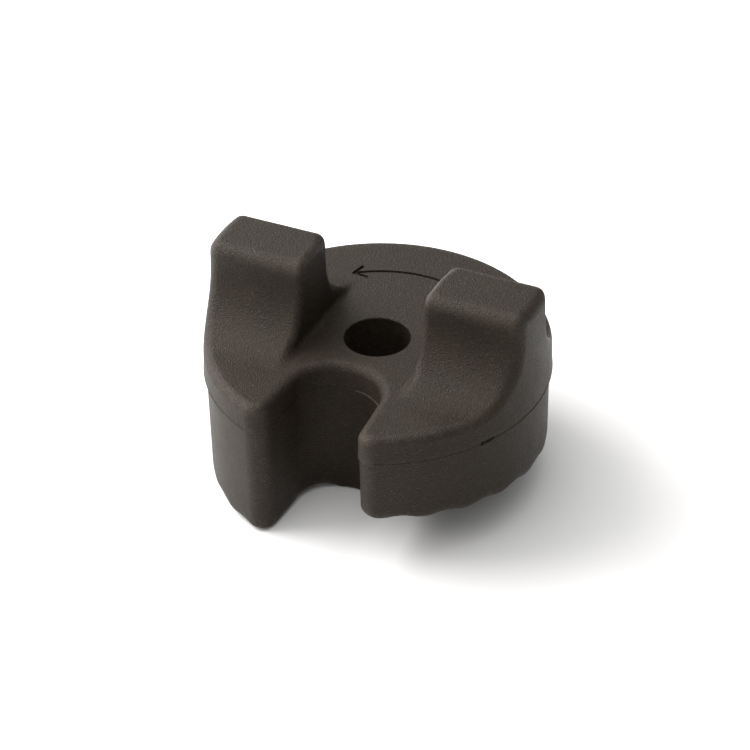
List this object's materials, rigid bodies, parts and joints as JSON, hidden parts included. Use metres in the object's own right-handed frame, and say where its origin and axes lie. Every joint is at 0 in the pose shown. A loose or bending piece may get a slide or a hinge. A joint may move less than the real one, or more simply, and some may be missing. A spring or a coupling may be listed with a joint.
{
  "type": "wing nut",
  "caption": "Moulded wing nut with two thumb wings, a slotted rim, a waved helical ramp under the skirt and a threaded steel bush.",
  "frame": {"origin": "on the thread axis at the clamping face under the hub", "axes": "+Z along the thread axis towards the wings, the rim slot opens towards -Y, the wings stand at +X and -X"},
  "size_m": [0.0502, 0.0483, 0.0345],
  "materials": {
    "grip_plastic": "fine spark-eroded grain, matt",
    "bush_steel": "zinc plated"
  },
  "bodies": {
    "root": {"grip": "grip_plastic", "threaded_bush": "bush_steel"}
  },
  "joints": []
}
